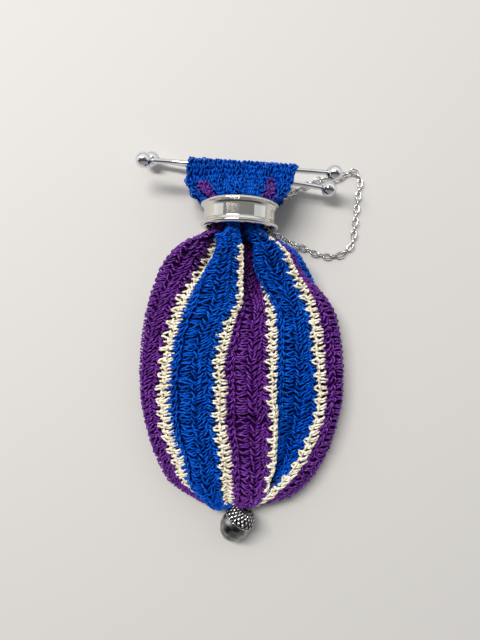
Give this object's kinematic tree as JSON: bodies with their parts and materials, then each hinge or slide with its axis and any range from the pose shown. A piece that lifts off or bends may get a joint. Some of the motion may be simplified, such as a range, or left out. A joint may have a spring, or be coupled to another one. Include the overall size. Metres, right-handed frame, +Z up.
{
  "type": "bar and ring purse",
  "caption": "Striped crocheted pouch with its gathered neck through a flared steel ring, mouth flaps folded over ball-ended bars, a loop of cable chain and a cast acorn charm.",
  "frame": {"origin": "middle of the bounding box at the surface that the purse lies on", "axes": "+Y along the purse towards its mouth and bars, +X to the right seen from above, +Z up from the surface"},
  "size_m": [0.0742, 0.128, 0.0244],
  "materials": {
    "striped_yarn": "mercerised cotton crochet in blue, purple and cream stripes",
    "blue_yarn": "mercerised cotton crochet",
    "polished_steel": "mirror polished",
    "cast_silver": "antiqued casting, dark in its recesses"
  },
  "bodies": {
    "purse": {"pouch_body": "striped_yarn", "front_casing": "blue_yarn", "back_casing": "blue_yarn", "ring": "polished_steel", "chain": "polished_steel", "acorn_charm": "cast_silver"},
    "front_bar": {"front_bar_rod": "polished_steel", "front_bar_ball_left": "polished_steel", "front_bar_ball_right": "polished_steel"},
    "back_bar": {"back_bar_rod": "polished_steel", "back_bar_ball_left": "polished_steel", "back_bar_ball_right": "polished_steel"}
  },
  "joints": [
    {"name": "front_bar_slide", "type": "slide", "parent": "purse", "child": "front_bar", "axis": [0.9977, -0.068, 0], "range_m": [-0.0084, 0.0104]},
    {"name": "back_bar_slide", "type": "slide", "parent": "purse", "child": "back_bar", "axis": [0.9841, -0.1753, 0.0297], "range_m": [-0.01, 0.0088]}
  ]
}
